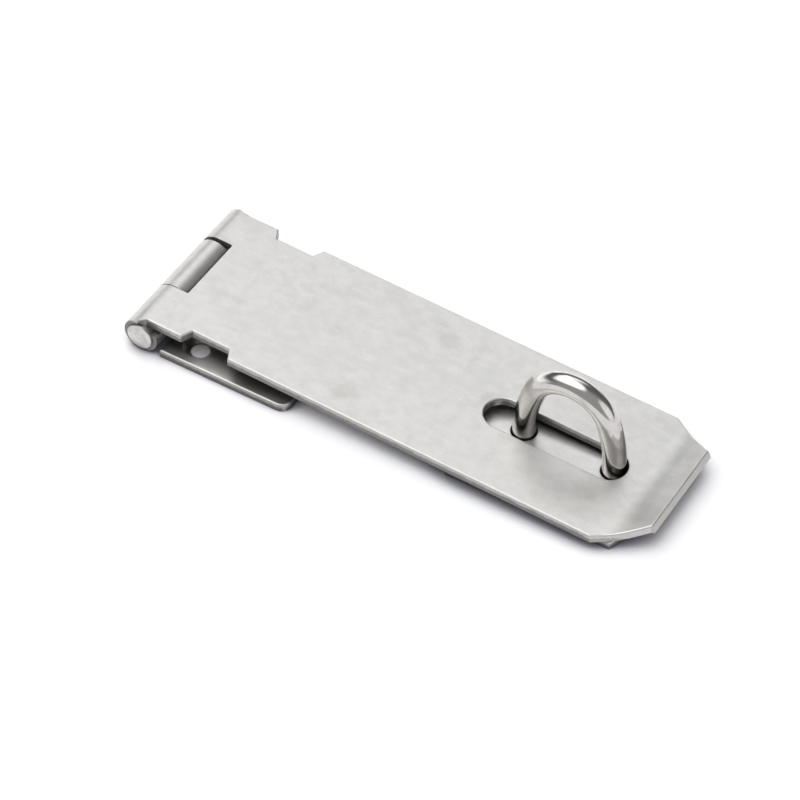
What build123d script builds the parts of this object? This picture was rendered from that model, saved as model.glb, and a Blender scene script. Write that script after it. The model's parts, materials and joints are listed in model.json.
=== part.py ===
"""Hasp and staple: a slotted hasp strap hinged to a screwed-down leaf, closed over a wire staple.

Frame: the mounting plane is Z = 0, +X runs from the hinge towards the strap's free end, and the
origin is under the middle of the closed hasp. Lengths are millimetres, angles are degrees.
"""

import os
from math import cos, radians, sin

from build123d import *

# Sheet metal and hinge
sheet = 2.0  # thickness of all three pressed pieces
pin_r = 2.15
running_gap = 0.05  # radial clearance between the pin and both curls
bore_r = pin_r + running_gap
knuckle_r = bore_r + sheet
edge_round = 0.35  # die roll along the upper rim of each blanked edge
facing_up = 0.8  # cosine between the up direction and a face that counts as upper skin

# Strap, measured from the hinge axis along its own length, y from its centre line
strap_width = 39.0
strap_reach = 121.4
strap_droop = 2.1  # the closed strap slopes down until it lies on the staple plate
curl_gap_angle = 20.0  # the curl's lip stops this far above the level of the axis
notch_outer = (9.6, 21.6)  # edge notches: ends at the strap's edge
notch_inner = (10.8, 20.2)  # and at the bottom of the notch
notch_depth = 2.7
slot_span = (74.8, 108.9)
slot_width = 8.5
slot_shift = -0.2
corner_start = 111.0  # clipped corners at the free end
corner_cut = 7.1
lip_start = 112.3  # the free end turns up as a finger lip
lip_angle = 25.0
lip_bend_r = 12.0  # radius of the upper surface in the bend
curl_ends = (-21.0, 20.0)  # the curls spread a little wider than the strap
curl_flare = (-0.9, 0.6)  # stretch over which the strap's upper face widens out to them
knuckle_window = (-8.1, 9.6)  # gap in the strap's curl that takes the leaf's knuckle
window_depth = 3.8
window_corner_r = 0.4

# Hinge leaf
leaf_width = 40.5
leaf_shift = -0.55  # the leaf sits off centre by the play on the pin
leaf_reach = 37.3
leaf_corner_r = 2.5
leaf_knuckle = (-7.9, 8.5)  # y extent of the middle knuckle, from the strap's centre line
leaf_relief = 0.6  # gap between the leaf and the strap's curls
leaf_curl_gap_angle = 8.0
leaf_hole_rows = ((11.4, 28.5), (29.0, 20.0))  # distance from the hinge axis, and spread across the leaf

# Screw holes in leaf and plate, for 4 mm countersunk screws
hole_r = 2.2
countersink_r = 3.9
countersink_angle = 90.0

# Hinge pin
pin_head_r = 3.1
pin_head_rim = 0.4
pin_head_crown = 0.8
pin_end_gap = 0.1

# Staple
bow_x = 94.8  # middle of the bow, from the hinge axis
bow_shift = 0.7  # and off the strap's centre line
bow_leg_spacing = 21.8
bow_wire_r = 2.6
bow_leg_top = 3.5  # height at which the legs start to curve in
bow_side_r = 36.0
bow_side_angle = 20.0
bow_rivet_r = 3.5  # the legs are riveted over in countersinks under the plate
bow_rivet_depth = 0.9
leg_hole_bevel = 0.4
plate_length = 44.0
plate_width = 36.0
plate_clip = (2.2, 5.4)
plate_hole_spacing = (32.0, 26.0)

# Places worked out from the driving dimensions
lip_arc_x = lip_bend_r * sin(radians(lip_angle))
lip_length = (strap_reach - lip_start - lip_arc_x) / cos(radians(lip_angle))
lip_rise = lip_bend_r * (1 - cos(radians(lip_angle))) + lip_length * sin(radians(lip_angle))
tip_along = strap_reach + sheet * sin(radians(lip_angle))
tip_above = knuckle_r + lip_rise - sheet * cos(radians(lip_angle))
tip_x = tip_along * cos(radians(strap_droop)) + tip_above * sin(radians(strap_droop))
hinge_x = (knuckle_r - tip_x) / 2
hinge_z = knuckle_r
play_y = 0.5  # centres the whole object over the origin
hinge = Vector(hinge_x, play_y, hinge_z)
bow_centre = Vector(hinge_x + bow_x, play_y + bow_shift, 0)

# Strap planes: one across the hinge for its bent section, one flat for its outline
along_strap = Vector(cos(radians(strap_droop)), 0, -sin(radians(strap_droop)))
strap_section = Plane(origin=hinge, x_dir=along_strap, z_dir=(0, -1, 0))
strap_flat = Plane(origin=hinge, x_dir=along_strap, z_dir=along_strap.cross(Vector(0, 1, 0)))
leaf_section = Plane(origin=hinge + Vector(0, leaf_shift, 0), x_dir=(1, 0, 0), z_dir=(0, -1, 0))
leaf_flat = Plane(origin=(hinge_x, play_y, 0))
far = 20.0  # reach of the cutting outlines beyond the metal


def curl(start_angle, sweep_angle):
    """Face of a rolled knuckle: a sector of the ring between the bore and the knuckle's outside."""
    with BuildSketch() as ring:
        with BuildLine():
            outside = CenterArc((0, 0), knuckle_r, start_angle, sweep_angle)
            inside = CenterArc((0, 0), bore_r, start_angle, sweep_angle)
            Line(outside @ 0, inside @ 0)
            Line(outside @ 1, inside @ 1)
        make_face()
    return ring.sketch


def strap_side():
    """Face of the strap's section: straight over the door, then turned up at the free end."""
    with BuildSketch() as side:
        with BuildLine():
            top = Line((0, knuckle_r), (lip_start, knuckle_r))
            top_bend = JernArc(top @ 1, top % 1, lip_bend_r, lip_angle)
            top_lip = Line(top_bend @ 1, top_bend @ 1 + (top_bend % 1) * lip_length)
            under = Line((0, bore_r), (lip_start, bore_r))
            under_bend = JernArc(under @ 1, under % 1, lip_bend_r + sheet, lip_angle)
            under_lip = Line(under_bend @ 1, under_bend @ 1 + (under_bend % 1) * lip_length)
            Line(top @ 0, under @ 0)
            Line(top_lip @ 1, under_lip @ 1)
        make_face()
    return side.sketch


def upper_rim(piece, up, lowest):
    """Edges where a pressing's upper skin, above a given height over the axis, meets a cut wall."""
    skin = piece.faces().filter_by(
        lambda face: face.normal_at().dot(up) > facing_up and (face.center() - hinge).dot(up) > lowest
    )
    seams = skin.edges()
    return seams.filter_by(lambda edge: seams.count(edge) == 1)


def screw_holes(positions, surface):
    """Countersunk screw holes, sunk from the given surface."""
    with Locations(*[surface * Location((x, y, 0)) for x, y in positions]):
        CounterSinkHole(hole_r, countersink_r, depth=sheet * 2, counter_sink_angle=countersink_angle)


# Hasp strap: one pressing with two curls, edge notches, padlock slot and a turned-up end
half = strap_width / 2
curl_slit_z = (bore_r + knuckle_r * sin(radians(curl_gap_angle))) / 2  # between sheet and curl end
window_width = knuckle_window[1] - knuckle_window[0]
window_y = sum(knuckle_window) / 2
with BuildPart() as hasp_strap:
    with BuildSketch(strap_section.offset(-curl_ends[1])):
        add(strap_side())
        add(curl(90, 270 + curl_gap_angle))
    extrude(amount=curl_ends[1] - curl_ends[0])
    with BuildSketch(strap_flat.offset(curl_slit_z)):
        for side, curl_end in ((1, curl_ends[1]), (-1, curl_ends[0])):
            with BuildLine():
                Polyline(
                    (curl_flare[0], curl_end),
                    (curl_flare[1], side * half),
                    (strap_reach + far, side * half),
                    (strap_reach + far, side * (half + far)),
                    (curl_flare[0], side * (half + far)),
                    close=True,
                )
            make_face()
    extrude(amount=far, mode=Mode.SUBTRACT)
    with BuildSketch(strap_flat):
        with Locations((sum(slot_span) / 2, slot_shift)):
            SlotOverall(slot_span[1] - slot_span[0], slot_width)
        for side in (1, -1):
            with BuildLine():
                Polyline(
                    (notch_outer[0] - notch_inner[0] + notch_outer[0], side * (half + notch_depth)),
                    (notch_inner[0], side * (half - notch_depth)),
                    (notch_inner[1], side * (half - notch_depth)),
                    (notch_outer[1] - notch_inner[1] + notch_outer[1], side * (half + notch_depth)),
                    close=True,
                )
            make_face()
            with BuildLine():
                Polyline(
                    (corner_start, side * half),
                    (strap_reach, side * (half - corner_cut)),
                    (strap_reach + far, side * (half - corner_cut)),
                    (strap_reach + far, side * (half + far)),
                    (corner_start, side * (half + far)),
                    close=True,
                )
            make_face()
    extrude(amount=far, both=True, mode=Mode.SUBTRACT)
    with BuildSketch(strap_flat.offset(curl_slit_z)):
        with Locations((window_depth, window_y)):
            Rectangle(far, window_width, align=(Align.MAX, Align.CENTER))
        fillet(vertices().group_by(Axis.X)[-1], window_corner_r)
    extrude(amount=far, mode=Mode.SUBTRACT)
    with BuildSketch(strap_flat.offset(curl_slit_z)):
        with Locations((window_depth + sheet, window_y)):
            Rectangle(far, window_width, align=(Align.MAX, Align.CENTER))
    extrude(amount=-far, mode=Mode.SUBTRACT)
    strap_rim = upper_rim(hasp_strap, strap_flat.z_dir, bore_r)
    fillet(
        strap_rim.filter_by(lambda edge: (edge.center() - hinge).X > window_depth + window_corner_r),
        edge_round,
    )
hasp_strap.part.label = "hasp_strap"

# Hinge leaf: screwed to the door under the strap, its middle knuckle curled over the pin
knuckle_width = leaf_knuckle[1] - leaf_knuckle[0]
knuckle_y = sum(leaf_knuckle) / 2
relief_x = knuckle_r + leaf_relief
with BuildPart() as hinge_leaf:
    with BuildSketch(leaf_section):
        with Locations((0, -knuckle_r)):
            Rectangle(leaf_reach, sheet, align=(Align.MIN, Align.MIN))
        add(curl(leaf_curl_gap_angle, 270 - leaf_curl_gap_angle))
    extrude(amount=leaf_width / 2, both=True)
    with BuildSketch(leaf_flat):
        for side, knuckle_end in ((1, leaf_knuckle[1]), (-1, leaf_knuckle[0])):
            with Locations((relief_x, knuckle_end + side * leaf_width / 2)):
                Rectangle(far, leaf_width, align=(Align.MAX, Align.CENTER))
    extrude(amount=far, mode=Mode.SUBTRACT)
    fillet(hinge_leaf.edges().filter_by(Axis.Z).group_by(Axis.X)[-1], leaf_corner_r)
    leaf_holes = [
        (x, leaf_shift + side * spread / 2) for x, spread in leaf_hole_rows for side in (1, -1)
    ]
    screw_holes(leaf_holes, leaf_flat.offset(sheet))
    fillet(upper_rim(hinge_leaf, Vector(0, 0, 1), -knuckle_r).filter_by(GeomType.LINE), edge_round)
hinge_leaf.part.label = "hinge_leaf"

# Hinge pin: riveted to a low dome at both ends
pin_ends = ((-1, curl_ends[0] - pin_end_gap), (1, curl_ends[1] + pin_end_gap))
crown_r = (pin_head_r**2 + (pin_head_crown - pin_head_rim) ** 2) / (
    2 * (pin_head_crown - pin_head_rim)
)
with BuildPart() as hinge_pin:
    with BuildSketch(Plane(origin=hinge, x_dir=(1, 0, 0), z_dir=(0, 0, 1))):
        for side, end in pin_ends:
            rim = end + side * pin_head_rim
            crown = end + side * pin_head_crown
            with BuildLine():
                Polyline((0, crown), (0, 0), (pin_r, 0), (pin_r, end), (pin_head_r, end), (pin_head_r, rim))
                RadiusArc((pin_head_r, rim), (0, crown), side * -crown_r)
            make_face()
    revolve(axis=Axis(hinge, (0, 1, 0)))
hinge_pin.part.label = "hinge_pin"

# Staple bow: polished round wire, two legs and a three-centred arch, riveted under the plate
leg_x = bow_leg_spacing / 2
with BuildPart() as staple_bow:
    with BuildLine(Plane(origin=bow_centre, x_dir=(1, 0, 0), z_dir=(0, -1, 0))) as wire:
        leg = Line((leg_x, 0), (leg_x, bow_leg_top))
        shoulder = JernArc(leg @ 1, leg % 1, bow_side_r, bow_side_angle)
        crown_radius = (shoulder @ 1 - bow_centre).X / sin(radians(90 - bow_side_angle))
        top = JernArc(shoulder @ 1, shoulder % 1, crown_radius, 2 * (90 - bow_side_angle))
        far_shoulder = JernArc(top @ 1, top % 1, bow_side_r, bow_side_angle)
        Line(far_shoulder @ 1, far_shoulder @ 1 + Vector(0, 0, -bow_leg_top))
    with BuildSketch(Plane(origin=bow_centre + Vector(leg_x, 0, 0))):
        Circle(bow_wire_r)
    sweep(path=wire.line)
    for side in (1, -1):
        foot = bow_centre + Vector(side * leg_x, 0, 0)
        with BuildSketch(Plane(origin=foot, x_dir=(1, 0, 0), z_dir=(0, -1, 0))):
            Polygon(
                (0, 0),
                (bow_rivet_r, 0),
                (bow_wire_r, bow_rivet_depth),
                (0, bow_rivet_depth),
                align=None,
            )
        revolve(axis=Axis(foot, (0, 0, 1)))
staple_bow.part.label = "staple_bow"

# Staple plate: clipped corners, four screw holes, two bevelled holes for the bow's legs
with BuildPart() as staple_plate:
    with BuildSketch(Plane(origin=bow_centre)):
        Rectangle(plate_length, plate_width)
        for sx in (1, -1):
            for sy in (1, -1):
                with BuildLine():
                    Polyline(
                        (sx * plate_length / 2, sy * plate_width / 2),
                        (sx * (plate_length / 2 - plate_clip[0]), sy * plate_width / 2),
                        (sx * plate_length / 2, sy * (plate_width / 2 - plate_clip[1])),
                        close=True,
                    )
                make_face(mode=Mode.SUBTRACT)
    extrude(amount=sheet)
    corners = [
        (sx * plate_hole_spacing[0] / 2, sy * plate_hole_spacing[1] / 2)
        for sx in (1, -1)
        for sy in (1, -1)
    ]
    screw_holes(corners, Plane(origin=bow_centre + Vector(0, 0, sheet)))
    for side in (1, -1):
        foot = bow_centre + Vector(side * leg_x, 0, 0)
        with BuildSketch(Plane(origin=foot, x_dir=(1, 0, 0), z_dir=(0, -1, 0))):
            Polygon(
                (0, 0),
                (bow_rivet_r, 0),
                (bow_wire_r, bow_rivet_depth),
                (bow_wire_r, sheet - leg_hole_bevel),
                (bow_wire_r + leg_hole_bevel, sheet),
                (0, sheet),
                align=None,
            )
        revolve(axis=Axis(foot, (0, 0, 1)), mode=Mode.SUBTRACT)
    fillet(upper_rim(staple_plate, Vector(0, 0, 1), -knuckle_r).filter_by(GeomType.LINE), edge_round)
staple_plate.part.label = "staple_plate"

os.makedirs("parts", exist_ok=True)
for name in (hasp_strap, hinge_leaf, hinge_pin, staple_bow, staple_plate):
    export_step(name.part, f"parts/{name.part.label}.step")
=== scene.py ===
"""Hasp and staple: materials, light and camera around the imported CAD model. Lengths in metres."""

import json
from math import cos, radians, sin

import bpy
from mathutils import Matrix, Vector


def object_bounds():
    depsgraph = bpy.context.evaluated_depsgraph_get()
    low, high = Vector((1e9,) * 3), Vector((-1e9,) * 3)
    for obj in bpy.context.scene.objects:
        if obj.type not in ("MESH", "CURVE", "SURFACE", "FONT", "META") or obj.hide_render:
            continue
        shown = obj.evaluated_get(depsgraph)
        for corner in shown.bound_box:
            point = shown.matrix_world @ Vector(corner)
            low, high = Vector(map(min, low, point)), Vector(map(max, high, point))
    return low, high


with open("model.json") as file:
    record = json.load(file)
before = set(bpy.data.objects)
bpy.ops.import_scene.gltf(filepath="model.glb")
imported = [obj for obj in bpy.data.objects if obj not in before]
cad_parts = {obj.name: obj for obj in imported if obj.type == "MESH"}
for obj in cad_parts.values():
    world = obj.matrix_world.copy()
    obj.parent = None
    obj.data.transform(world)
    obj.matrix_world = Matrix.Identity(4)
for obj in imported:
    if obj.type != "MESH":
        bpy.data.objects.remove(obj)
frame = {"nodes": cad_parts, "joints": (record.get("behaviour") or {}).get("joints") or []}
cad_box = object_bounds()

MM = 0.001
sheet = 2 * MM  # thickness of the pressed pieces
knuckle_r = 4.2 * MM  # outside of the rolled knuckles
strap_droop = radians(2.1)  # slope of the shut strap
hinge = Vector(next(j for j in frame["joints"] if j["name"] == "hasp_hinge")["pos_m"])
strap_up = Vector((sin(strap_droop), 0, cos(strap_droop)))


# Node helpers
def new_material(name):
    """A node material, with its tree and its shader node."""
    material = bpy.data.materials.new(name)
    material.use_nodes = True
    return material, material.node_tree, material.node_tree.nodes["Principled BSDF"]


def feed(tree, socket, value):
    """Links a socket to another one, or sets it to a plain value."""
    if isinstance(value, bpy.types.NodeSocket):
        tree.links.new(value, socket)
    else:
        socket.default_value = value


def calc(tree, operation, *values, clamp=False):
    """A Math node's result."""
    made = tree.nodes.new("ShaderNodeMath")
    made.operation = operation
    made.use_clamp = clamp
    for socket, value in zip(made.inputs, values):
        feed(tree, socket, value)
    return made.outputs[0]


def dot(tree, vector, direction):
    """How far a vector reaches along a fixed direction."""
    made = tree.nodes.new("ShaderNodeVectorMath")
    made.operation = "DOT_PRODUCT"
    feed(tree, made.inputs[0], vector)
    feed(tree, made.inputs[1], direction)
    return made.outputs["Value"]


def remap(tree, value, low, high, to_low=0.0, to_high=1.0):
    """A value taken smoothly from one range to another and held at its ends."""
    made = tree.nodes.new("ShaderNodeMapRange")
    made.interpolation_type = "SMOOTHSTEP"
    for socket, amount in zip(made.inputs, (value, low, high, to_low, to_high)):
        feed(tree, socket, amount)
    return made.outputs["Result"]


def noise(tree, point, scale, detail=2.0, stretch=(1, 1, 1), turn=0.0):
    """Noise from 0 to 1, with about `scale` features a metre, drawn out by `stretch`."""
    placed = tree.nodes.new("ShaderNodeMapping")
    feed(tree, placed.inputs["Vector"], point)
    placed.inputs["Rotation"].default_value = (0, 0, turn)
    placed.inputs["Scale"].default_value = [1 / s for s in stretch]
    made = tree.nodes.new("ShaderNodeTexNoise")
    feed(tree, made.inputs["Vector"], placed.outputs["Vector"])
    made.inputs["Scale"].default_value = scale
    made.inputs["Detail"].default_value = detail
    return made.outputs["Fac"]


def blend_colour(tree, share, first, second):
    """A colour between two others."""
    made = tree.nodes.new("ShaderNodeMix")
    made.data_type = "RGBA"
    feed(tree, made.inputs["Factor"], share)
    feed(tree, made.inputs["A"], first)
    feed(tree, made.inputs["B"], second)
    return made.outputs["Result"]


def bump(tree, height, distance, normal=None):
    """A bump of a given depth in metres, laid over another one."""
    made = tree.nodes.new("ShaderNodeBump")
    feed(tree, made.inputs["Height"], height)
    made.inputs["Distance"].default_value = distance
    if normal is not None:
        feed(tree, made.inputs["Normal"], normal)
    return made.outputs["Normal"]


def occlusion_shade(tree, reach):
    """Painted-shade mask from ambient occlusion: 1 deep in a fold or narrow gap, 0 on open metal, judged
    by how much lies within `reach`; it drives painted shade and painted shadow.
    """
    made = tree.nodes.new("ShaderNodeAmbientOcclusion")
    made.samples = 8
    made.inputs["Distance"].default_value = reach
    return remap(tree, made.outputs["AO"], 0.85, 0.25)


# Colours that the steels share
scuff = (0.42, 0.41, 0.39, 1)
fresh_scratch = (0.85, 0.85, 0.84, 1)
sheared = (0.43, 0.42, 0.39, 1)
torn_metal = (0.20, 0.195, 0.19, 1)
# Painted shade: the dark colour laid into gaps, slots and under the strap
shade_tone = (0.07, 0.065, 0.065, 1)


# Materials
def scratches(tree, point, turns):
    """A mask of short hairline scratches, running at the given angles."""
    total = 0.0
    for number, turn in enumerate(turns):
        line = noise(tree, point, 1500, 1.0, (14, 1, 14), turn)
        place = noise(tree, point, 130 + 17 * number, 0.0, turn=turn + 1)
        line = remap(tree, line, 0.68, 0.74)
        place = remap(tree, place, 0.56, 0.64)
        total = calc(tree, "MAXIMUM", total, calc(tree, "MULTIPLY", line, place))
    return total


def sheet_steel(name, tint, rough, up, bottom, wear=1.0, shade_reach=1.4 * MM):
    """Tumbled stainless sheet: faint clouds, rolling grain and scuffs on its skins, sheared edges.
    up is the way its upper skin faces, bottom is how high its lower skin lies along up, and painted
    shade darkens the colour where other metal lies within the given reach."""
    material, tree, shader = new_material(name)
    where = tree.nodes.new("ShaderNodeTexCoord")
    point, facing = where.outputs["Object"], where.outputs["Normal"]

    clouds = noise(tree, point, 45, 3.0)
    patches = noise(tree, point, 210, 4.0, (1.6, 1, 1))
    mottle = noise(tree, point, 520, 3.0, (1.4, 1, 1))
    grain = noise(tree, point, 1400, 2.0, (8, 1, 1))
    speckle = noise(tree, point, 2600, 1.0)
    hairlines = scratches(tree, point, (0.25, 1.1, 2.3, -0.5))
    smudge = remap(tree, noise(tree, point, 120, 3.0), 0.60, 0.74)

    # Sheared walls: burnished near the upper skin, torn below it
    height = calc(tree, "SUBTRACT", dot(tree, point, up), bottom)
    sideways = calc(tree, "ABSOLUTE", dot(tree, facing, (0, 1, 0)))
    endways = calc(tree, "ABSOLUTE", dot(tree, facing, up.cross(Vector((0, 1, 0)))))
    knuckle_end = hinge.x + knuckle_r
    past_knuckle = remap(tree, dot(tree, point, (1, 0, 0)), knuckle_end, knuckle_end + MM)
    endways = calc(tree, "MULTIPLY", endways, past_knuckle)
    wall = remap(tree, calc(tree, "MAXIMUM", sideways, endways), 0.72, 0.92)
    ragged = noise(tree, point, 700, 2.0, (1, 1, 6))
    torn_line = calc(tree, "MULTIPLY_ADD", ragged, sheet * 0.5, sheet * 0.3)
    torn = remap(tree, calc(tree, "SUBTRACT", torn_line, height), -0.1 * MM, 0.1 * MM)
    torn = calc(tree, "MULTIPLY", torn, wall)
    striae = noise(tree, point, 2200, 2.0, (1, 1, 14))

    dark = tuple(c * 0.90 for c in tint) + (1,)
    light = tuple(min(1.0, c * 1.04) for c in tint) + (1,)
    mix = 0.0
    for layer, share in ((clouds, 0.25), (patches, 0.25), (mottle, 0.30), (speckle, 0.15), (grain, 0.05)):
        mix = calc(tree, "MULTIPLY_ADD", layer, share, mix)
    colour = blend_colour(tree, remap(tree, mix, 0.38, 0.62), dark, light)
    smudged = calc(tree, "MULTIPLY", smudge, 0.16 * wear)
    colour = blend_colour(tree, smudged, colour, scuff)
    scratched = calc(tree, "MULTIPLY", hairlines, 0.12 * wear)
    colour = blend_colour(tree, scratched, colour, fresh_scratch)
    colour = blend_colour(tree, calc(tree, "MULTIPLY", wall, 0.75), colour, sheared)
    colour = blend_colour(tree, calc(tree, "MULTIPLY", torn, 0.7), colour, torn_metal)
    # Painted shade: ambient occlusion darkens the colour in gaps, slots and under the strap
    shade_amount = calc(tree, "MULTIPLY", occlusion_shade(tree, shade_reach), 0.85)
    colour = blend_colour(tree, shade_amount, colour, shade_tone)
    feed(tree, shader.inputs["Base Color"], colour)

    roughness = calc(tree, "MULTIPLY_ADD", clouds, 0.10, rough - 0.05)
    roughness = calc(tree, "MULTIPLY_ADD", grain, 0.10, calc(tree, "SUBTRACT", roughness, 0.05))
    roughness = calc(tree, "MULTIPLY_ADD", patches, 0.08, calc(tree, "SUBTRACT", roughness, 0.04))
    roughness = calc(tree, "MULTIPLY_ADD", torn, 0.22, roughness)
    roughness = calc(tree, "MULTIPLY_ADD", smudge, 0.07 * wear, roughness, clamp=True)
    feed(tree, shader.inputs["Roughness"], roughness)

    normal = bump(tree, clouds, 0.006 * MM)
    normal = bump(tree, patches, 0.005 * MM, normal=normal)
    normal = bump(tree, mottle, 0.003 * MM, normal=normal)
    normal = bump(tree, grain, 0.0022 * MM, normal=normal)
    normal = bump(tree, speckle, 0.0022 * MM, normal=normal)
    normal = bump(tree, hairlines, 0.002 * MM, normal=normal)
    normal = bump(tree, calc(tree, "MULTIPLY", striae, wall), 0.03 * MM, normal=normal)
    feed(tree, shader.inputs["Normal"], normal)
    shader.inputs["Metallic"].default_value = 1
    return material


def polished_steel(name):
    """Mirror-polished wire: very faint waves, polishing lines round the wire and dulled patches."""
    material, tree, shader = new_material(name)
    point = tree.nodes.new("ShaderNodeTexCoord").outputs["Object"]
    waves = noise(tree, point, 260, 2.0)
    lines = noise(tree, point, 1500, 2.0, (1, 1, 8))
    dulled = remap(tree, noise(tree, point, 420, 3.0), 0.45, 0.75)
    hairlines = scratches(tree, point, (0.6, 1.9))
    colour = blend_colour(tree, dulled, (0.60, 0.58, 0.56, 1), (0.50, 0.48, 0.46, 1))
    # Painted shade: ambient occlusion darkens the wire where it meets the plate and in tight gaps
    colour = blend_colour(tree, occlusion_shade(tree, 1.0 * MM), colour, (0.10, 0.09, 0.085, 1))
    feed(tree, shader.inputs["Base Color"], colour)
    roughness = calc(tree, "MULTIPLY_ADD", dulled, 0.08, 0.12)
    roughness = calc(tree, "MULTIPLY_ADD", hairlines, 0.10, roughness)
    feed(tree, shader.inputs["Roughness"], roughness)
    normal = bump(tree, waves, 0.05 * MM)
    normal = bump(tree, lines, 0.003 * MM, normal=normal)
    feed(tree, shader.inputs["Normal"], normal)
    shader.inputs["Metallic"].default_value = 1
    return material


def hammered_steel(name):
    """The pin's riveted heads: satin, with the shallow marks of the closing tool."""
    material, tree, shader = new_material(name)
    point = tree.nodes.new("ShaderNodeTexCoord").outputs["Object"]
    marks = noise(tree, point, 500, 2.0)
    grain = noise(tree, point, 3000, 2.0)
    dents = remap(tree, marks, 0.35, 0.65)
    colour = blend_colour(tree, dents, (0.52, 0.51, 0.49, 1), (0.66, 0.65, 0.63, 1))
    feed(tree, shader.inputs["Base Color"], colour)
    feed(tree, shader.inputs["Roughness"], calc(tree, "MULTIPLY_ADD", marks, 0.2, 0.30))
    normal = bump(tree, marks, 0.05 * MM)
    normal = bump(tree, grain, 0.004 * MM, normal=normal)
    feed(tree, shader.inputs["Normal"], normal)
    shader.inputs["Metallic"].default_value = 1
    return material


flat_up = Vector((0, 0, 1))
strap_bottom = hinge.dot(strap_up) + knuckle_r - sheet
finishes = {
    "hasp_strap": sheet_steel("strap_satin", (0.66, 0.655, 0.64), 0.43, strap_up, strap_bottom),
    # The wider reaches paint shade over the leaf under the strap and over the plate around the slot
    "hinge_leaf": sheet_steel("leaf_satin", (0.66, 0.65, 0.635), 0.42, flat_up, 0.0, shade_reach=7 * MM),
    "staple_plate": sheet_steel(
        "plate_satin", (0.63, 0.625, 0.62), 0.36, flat_up, 0.0, wear=0.5, shade_reach=2.4 * MM
    ),
    "staple_bow": polished_steel("bow_polished"),
    "hinge_pin": hammered_steel("pin_hammered"),
}
for name, finish in finishes.items():
    part = frame["nodes"][name]
    part.data.materials.clear()
    part.data.materials.append(finish)


# Floor, light and camera
def facing_back(azimuth, elevation):
    """Direction from the object towards a viewer or lamp: azimuth 0 looks along +Y."""
    a, e = radians(azimuth), radians(elevation)
    return Vector((sin(a) * cos(e), -cos(a) * cos(e), sin(e)))


middle = (cad_box[0] + cad_box[1]) / 2
middle.z = 0

floor_size = 20
shadow_reach = 6.0 * MM  # painted contact shadow: the floor's colour goes darker where metal is nearer than this
bpy.ops.mesh.primitive_plane_add(size=floor_size)
floor = bpy.context.object
floor.name = "floor"
material, tree, shader = new_material("floor")
paper, shade = (0.93, 0.93, 0.95, 1), (0.20, 0.20, 0.25, 1)
floor_colour = blend_colour(tree, occlusion_shade(tree, shadow_reach), paper, shade)
feed(tree, shader.inputs["Base Color"], floor_colour)
shader.inputs["Roughness"].default_value = 0.9
shader.inputs["Specular IOR Level"].default_value = 0.2
floor.data.materials.append(material)

# Studio surround: a bright ceiling, a pale canopy and sweep behind, a window at the right, a dim front
ceiling = Vector((-0.33, -0.18, 0.92)).normalized()
ceiling_edge = (cos(radians(40)), cos(radians(15)))
window = Vector((0.93, -0.10, 0.34)).normalized()
window_edge = (cos(radians(36)), cos(radians(14)))
behind = Vector((-0.85, 0.53, 0))
front = Vector((0.51, -0.86, 0))
ceiling_brightness, canopy_brightness, sweep_brightness = 2.50, 1.86, 1.60
window_brightness, front_brightness, room_brightness = 1.20, 0.42, 0.15
world = bpy.data.worlds.new("studio")
world.use_nodes = True
bpy.context.scene.world = world
tree = world.node_tree
direction = tree.nodes.new("ShaderNodeTexCoord").outputs["Generated"]
height = dot(tree, direction, (0, 0, 1))
back_half = remap(tree, dot(tree, direction, behind), 0.0, 0.6)
glows = (
    (remap(tree, dot(tree, direction, ceiling), *ceiling_edge), ceiling_brightness),
    (calc(tree, "MULTIPLY", remap(tree, height, 0.60, 0.71), back_half), canopy_brightness),
    (calc(tree, "MULTIPLY", remap(tree, height, 0.38, 0.20), back_half), sweep_brightness),
    (remap(tree, dot(tree, direction, window), *window_edge), window_brightness),
)
brightness = remap(tree, dot(tree, direction, front), -0.2, 0.6, room_brightness, front_brightness)
for glow, amount in glows:
    brightness = calc(tree, "MAXIMUM", brightness, calc(tree, "MULTIPLY", glow, amount))
feed(tree, tree.nodes["Background"].inputs["Color"], brightness)

# A very soft lamp from the front right that lights the floor; the metal's reflections leave it out
lamp_azimuth, lamp_elevation, lamp_spread = 40, 74, 60  # degrees
lamp = bpy.data.objects.new("soft_lamp", bpy.data.lights.new("soft_lamp", "SUN"))
lamp.data.energy = 0.8
lamp.data.angle = radians(lamp_spread)
lamp.visible_glossy = False
lamp.rotation_mode = "QUATERNION"
lamp.rotation_quaternion = facing_back(lamp_azimuth, lamp_elevation).to_track_quat("Z", "Y")
bpy.context.scene.collection.objects.link(lamp)

camera_azimuth, camera_elevation, camera_roll = 30.73, 47.11, 0.92  # degrees
camera_distance, camera_lens, camera_sensor = 0.7057, 147.3, 36  # metres, then millimetres
camera_aim = middle + Vector((-3.2, -3.6, 0)) * MM
camera = bpy.data.objects.new("camera", bpy.data.cameras.new("camera"))
camera.data.lens = camera_lens
camera.data.sensor_width = camera_sensor
back = facing_back(camera_azimuth, camera_elevation)
camera.location = camera_aim + back * camera_distance
camera.rotation_mode = "QUATERNION"
level = back.to_track_quat("Z", "Y")
camera.rotation_quaternion = level @ Matrix.Rotation(radians(camera_roll), 4, "Z").to_quaternion()
bpy.context.scene.collection.objects.link(camera)
bpy.context.scene.camera = camera
bpy.context.scene.view_settings.view_transform = "Standard"
